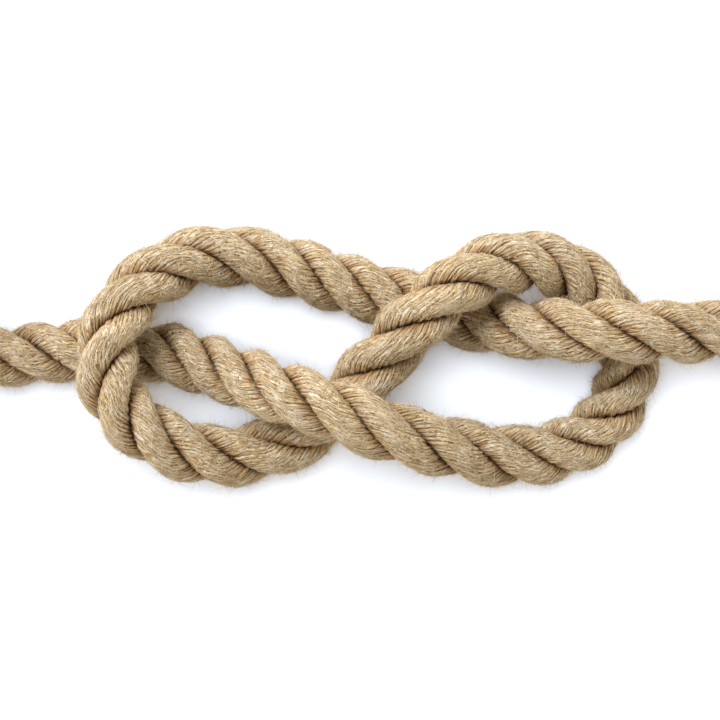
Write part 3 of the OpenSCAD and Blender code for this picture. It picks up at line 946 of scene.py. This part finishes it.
def tie_knot_piece():
    """An overhand knot on top of the tie: three lobes in two rounds, with two tails."""
    first, turn = tie_belt()
    slope = math.atan2(turn[0][1] - first[1], turn[0][0] - first[0])
    out = 1.75
    a = np.linspace(math.radians(25), math.radians(695), 200)
    r = out + 2.35 + out * np.cos(1.5 * a)
    lobes = np.stack([r * np.cos(a), r * np.sin(a), out * np.sin(1.5 * a)], 1)
    u = np.linspace(1, 0.04, 24)[:, None]

    def tail(end, side):
        return end + np.hstack([12 * u, side * 2.5 * u**2, -1.4 * u**2])

    local = np.vstack([tail(lobes[0], 1), lobes, tail(lobes[-1], -1)[::-1]])
    local = evened(local, 0.7)
    local = np.stack([softened(local[:, k], 1.5) for k in range(3)], 1)
    along, off = local[:, 0], local[:, 2] - (2 * TIE_R + out)
    at = HANK_MID + [0, first[0], first[1]]
    line = at + np.stack([local[:, 1], along * math.cos(slope) - off * math.sin(slope),
                          along * math.sin(slope) + off * math.cos(slope)], 1)
    shape = Shape()
    twisted_tube(shape, line, TIE_R, 3, 4, 0.16, 10.0)
    return shape.piece("tie_knot_twine", tarred, "tie_twine")


waist_tie = waist_tie_piece()
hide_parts("waist_tie")
tie_knot = tie_knot_piece()
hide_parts("tie_knot")
for piece in (hank_upper, upper_fuzz, hank_lower, lower_fuzz, splice_fuzz, waist_tie, tie_knot):
    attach(piece, "hank")

WHIP_TURNS = 12
WHIP_TWINE_R = 1.3
WHIP_OUT = 10.85
END_FIBRES = 1800


def whipping_piece():
    """Close turns of waxed twine, whose two ends go in under them."""
    turns = np.linspace(0, WHIP_TURNS, WHIP_TURNS * 56)
    from_end = np.minimum(turns, WHIP_TURNS - turns)
    out = WHIP_OUT - 1.9 * (1 - ease(from_end / 0.25))
    x = WHIP_FROM_X + (WHIP_TO_X - WHIP_FROM_X) * turns / WHIP_TURNS
    y = TAIL_FROM[1] + out * np.cos(TURN * turns)
    z = TAIL_Z + out * np.sin(TURN * turns)
    line = np.stack([x, y, z], 1)
    shape = Shape()
    twisted_tube(shape, line, WHIP_TWINE_R, 3, 4, 0.14, 9.0)
    return shape.piece("end_whipping_twine", waxed, "whipping_twine")


def end_line(rng, strand, long, points):
    """A line out of the cut end of a strand, which spreads and bends as it goes."""
    t = np.linspace(0, 1, points)
    turn = along_line(LAY_ANGLE, ROPE_END) + TURN * strand / STRANDS
    out = 0.97 * STRAND_R * math.sqrt(rng.uniform(0, 1))
    angle = rng.uniform(0, TURN)
    across = STRAND_OUT * math.cos(turn) + out * math.cos(angle)
    over = STRAND_OUT * math.sin(turn) + out * math.sin(angle)
    spread = 0.86 + 0.2 * t**1.5 * rng.uniform(0.0, 1.4)
    bend = rng.normal(0, 0.07 * long, 2)[:, None] * t**2
    return np.stack([ROPE_END_X - 3 + long * t, TAIL_FROM[1] + across * spread + bend[0],
                     TAIL_Z + over * spread + bend[1]], 1)


def yarn_ends_piece():
    """The cut yarns that stand out of the whipped end."""
    rng = np.random.default_rng(17)
    shape = Shape()
    slim = np.array([1, 1, 1, 0.9, 0.7, 0.15])
    for i in range(STRANDS * 70):
        line = end_line(rng, i % STRANDS, rng.uniform(7.0, 11.0), len(slim))
        twisted_tube(shape, line, rng.uniform(0.4, 0.65) * slim, 5, 2, 0.08, 14.0, 1 / YARNS, 0.2)
    return shape.piece("yarn_ends", hemp, "rope")


def end_fibres_piece():
    """Fine fibres that fray out of the cut yarns."""
    rng = np.random.default_rng(23)
    lines = [end_line(rng, i % STRANDS, rng.uniform(7.0, 12.5), 4) for i in range(END_FIBRES)]
    lines = np.array(lines) + rng.normal(0, 0.5, (END_FIBRES, 1, 3)) * np.linspace(0, 1, 4)[:, None]
    shape = Shape()
    shape.fibres(lines, rng.uniform(0.06, 0.14, END_FIBRES), rng.uniform(0.0, 0.8, END_FIBRES))
    return shape.piece("end_fibres", hemp_fibre, "rope")


whipping = whipping_piece()
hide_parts("end_whipping")
yarn_ends = yarn_ends_piece()
end_fibres = end_fibres_piece()
for piece in (whipping, yarn_ends, end_fibres):
    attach(piece, "tail")


# How white the floor is, to the light that it gives back and to the background's rays
FLOOR_LIT = (0.843, 0.8, 0.747, 1.0)
FLOOR_SEEN = (0.92, 0.92, 0.92, 1.0)


def floor_piece():
    """A white floor, which the background's rays see as just white."""
    middle = placed([0, 0, 0])
    bpy.ops.mesh.primitive_plane_add(size=12.0, location=(middle[0], middle[1], -0.0003))
    floor = bpy.context.object
    floor.name = "floor"
    bpy.ops.object.transform_apply(location=True, rotation=True, scale=True)
    paint = Finish("floor_white", 1.0, 0.0)
    paint.shader.inputs["Specular IOR Level"].default_value = 0.0
    paint.set("Base Color", paint.mix(paint.shown(), FLOOR_LIT, FLOOR_SEEN))
    floor.data.materials.append(paint.material)
    return floor


# Where both lamps stand: the side, in degrees from the right, and the distance
LAMP_SIDE = 132
LAMP_AWAY = 2.0


def lamp_object(data, toward, up):
    """A lamp that shines on the knot's middle from a side and a height, both in degrees."""
    toward, up = math.radians(toward), math.radians(up)
    lamp = bpy.data.objects.new(data.name, data)
    flat = LAMP_AWAY * math.cos(up)
    middle = placed([0, 0, 0])
    lamp.location = (middle[0] + flat * math.cos(toward), middle[1] + flat * math.sin(toward),
                     LAMP_AWAY * math.sin(up))
    lamp.rotation_euler = (math.pi / 2 - up, 0, toward + math.pi / 2)
    bpy.context.scene.collection.objects.link(lamp)
    return lamp


def link_floor(lamp, floor, state):
    """Make a lamp leave the floor out, or light nothing else."""
    group = bpy.data.collections.new(f"{lamp.name}_floor")
    group.objects.link(floor)
    group.collection_objects[0].light_linking.link_state = state
    lamp.light_linking.receiver_collection = group


def key_lamp(floor):
    """A large soft lamp, high on the far left, for the rope alone."""
    data = bpy.data.lights.new("softbox", "AREA")
    data.shape = "DISK"
    data.size = 1.2
    data.energy = 48.2
    data.color = (0.97, 0.99, 1.035)
    link_floor(lamp_object(data, LAMP_SIDE, 49), floor, "EXCLUDE")


def floor_lamp(floor):
    """An even light from above for the floor alone, so that its shadows stay near the rope."""
    data = bpy.data.lights.new("floor_light", "SUN")
    data.angle = math.radians(50)
    data.energy = 3.25
    data.color = (1.0, 1.097, 1.247)
    link_floor(lamp_object(data, LAMP_SIDE, 76), floor, "INCLUDE")


ROOM_TINT = (1.0, 0.955, 0.885, 1.0)


def pale_room():
    """Pale walls all round, brightest low down, with white behind everything that is seen."""
    world = bpy.data.worlds.new("room")
    bpy.context.scene.world = world
    world.use_nodes = True
    room = Nodes(world.node_tree)
    facing = room.node("ShaderNodeTexCoord")
    height = room.node("ShaderNodeSeparateXYZ", None, {0: facing}, 2)
    level = room.node("ShaderNodeMapRange", None, {"Value": height, "From Min": 0.0, "From Max": 0.8,
                                                   "To Min": 1.75, "To Max": 0.1})
    walls = room.node("ShaderNodeBackground", None, {"Color": ROOM_TINT, "Strength": level})
    white = room.node("ShaderNodeBackground", None, {"Color": (1.0, 1.0, 1.0, 1.0), "Strength": 1.0})
    room.end(room.node("ShaderNodeMixShader", None, {0: room.shown(), 1: walls, 2: white}))


floor = floor_piece()
key_lamp(floor)
floor_lamp(floor)
pale_room()
bpy.context.scene.view_settings.view_transform = "Standard"
